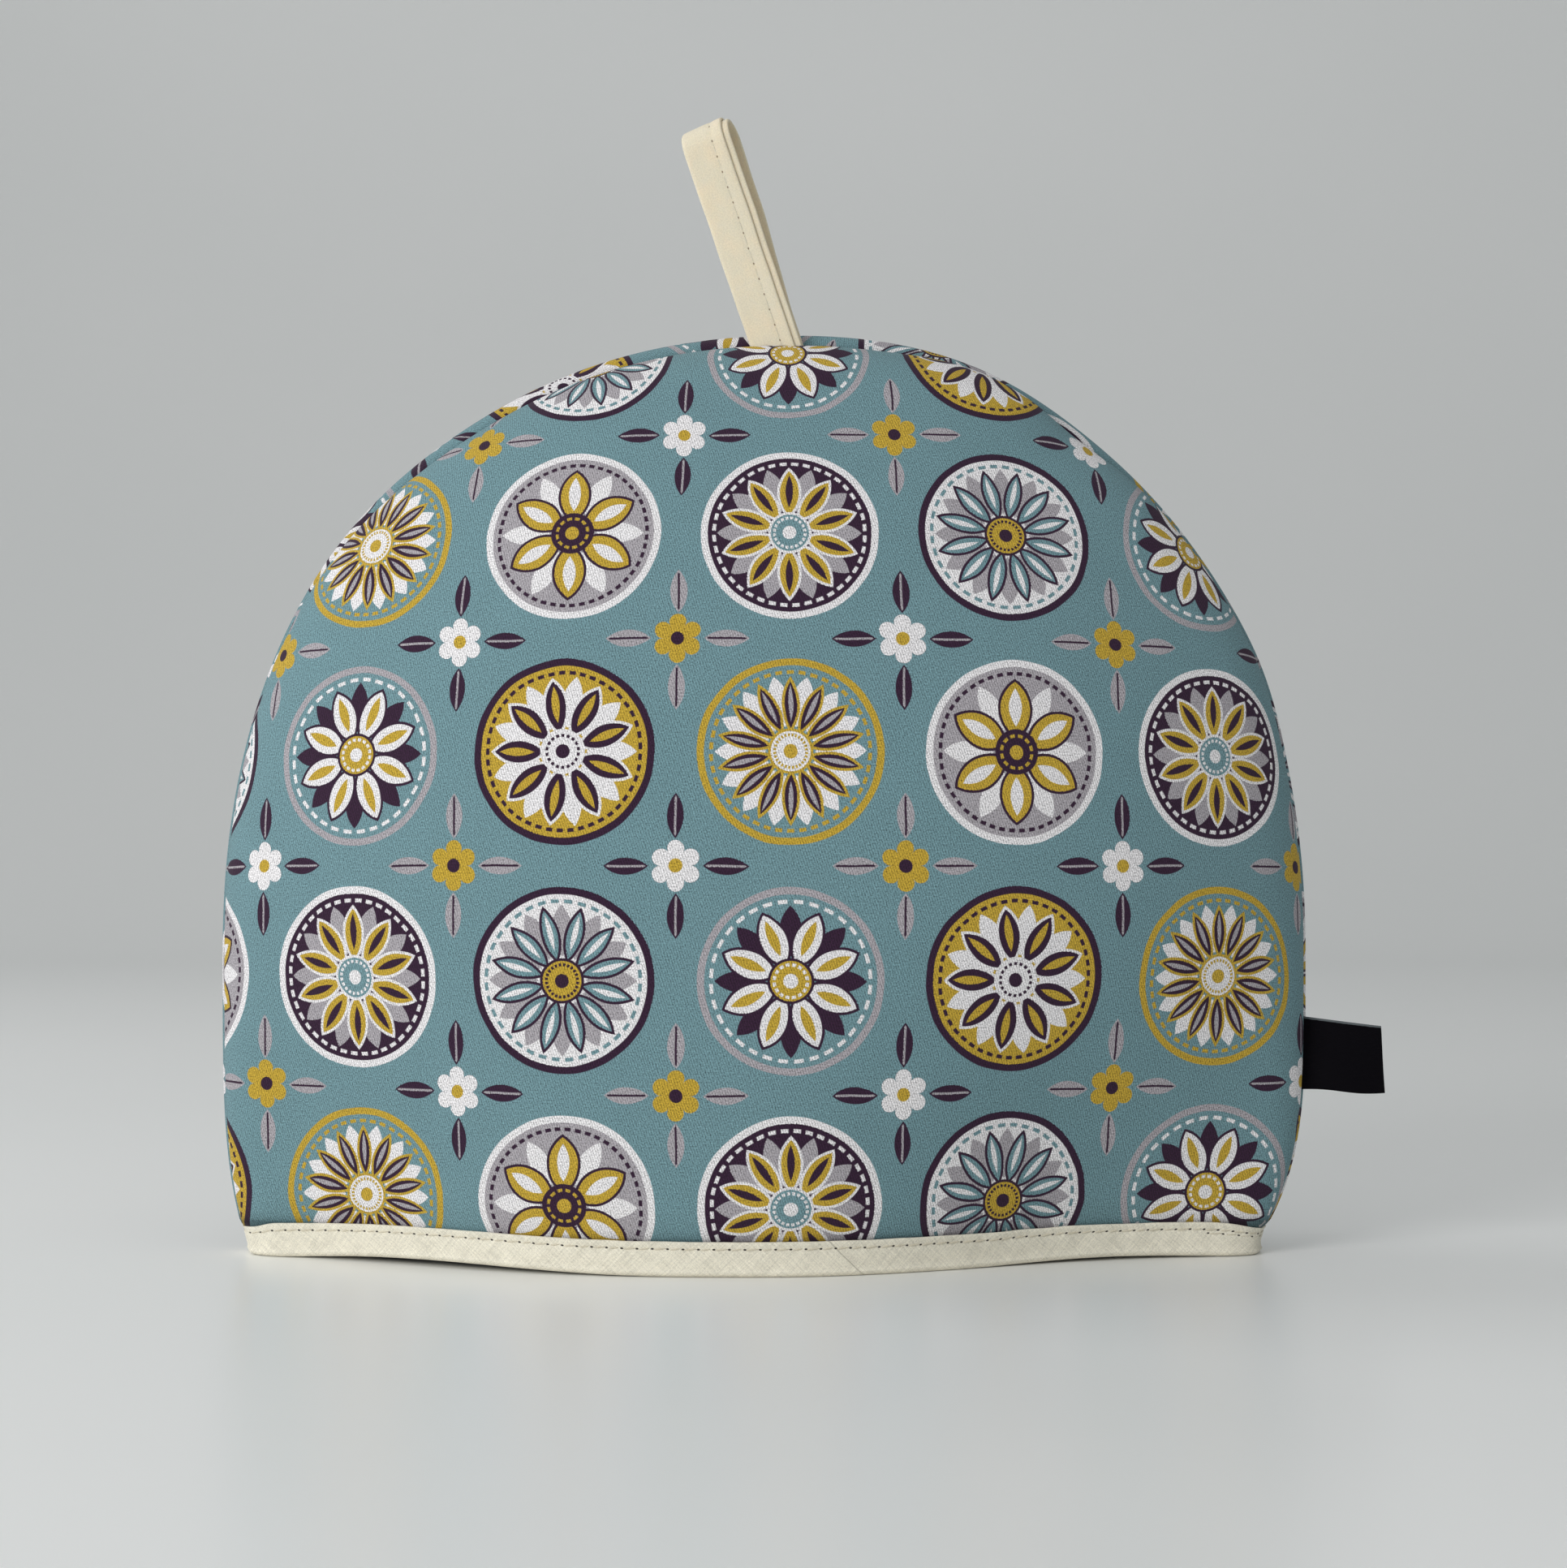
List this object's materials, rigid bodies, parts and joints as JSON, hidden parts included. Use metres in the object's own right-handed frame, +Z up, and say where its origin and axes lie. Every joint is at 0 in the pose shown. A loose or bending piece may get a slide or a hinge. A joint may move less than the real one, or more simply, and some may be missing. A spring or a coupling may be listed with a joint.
{
  "type": "padded tea cosy",
  "caption": "Dome-shaped padded tea cosy of printed cotton, open below, with a bound hem, a hanging loop at the crest and a side label.",
  "frame": {"origin": "middle of the bounding box's underside, which is the plane that the hem stands on", "axes": "+Z up through the crest, +X to the right along the width, with the side label at +X, and -Y towards the front panel"},
  "size_m": [0.3531, 0.1223, 0.3448],
  "materials": {
    "print_cloth": "printed cotton twill over wadding, matt",
    "binding_cotton": "natural cream cotton cut on the bias, matt",
    "loop_cotton": "natural cream cotton tape, folded and topstitched, matt",
    "label_weave": "black close-woven ribbon"
  },
  "bodies": {
    "root": {"front_panel": "print_cloth", "back_panel": "print_cloth", "hem_binding": "binding_cotton", "hanging_loop": "loop_cotton", "side_label": "label_weave"}
  },
  "joints": []
}
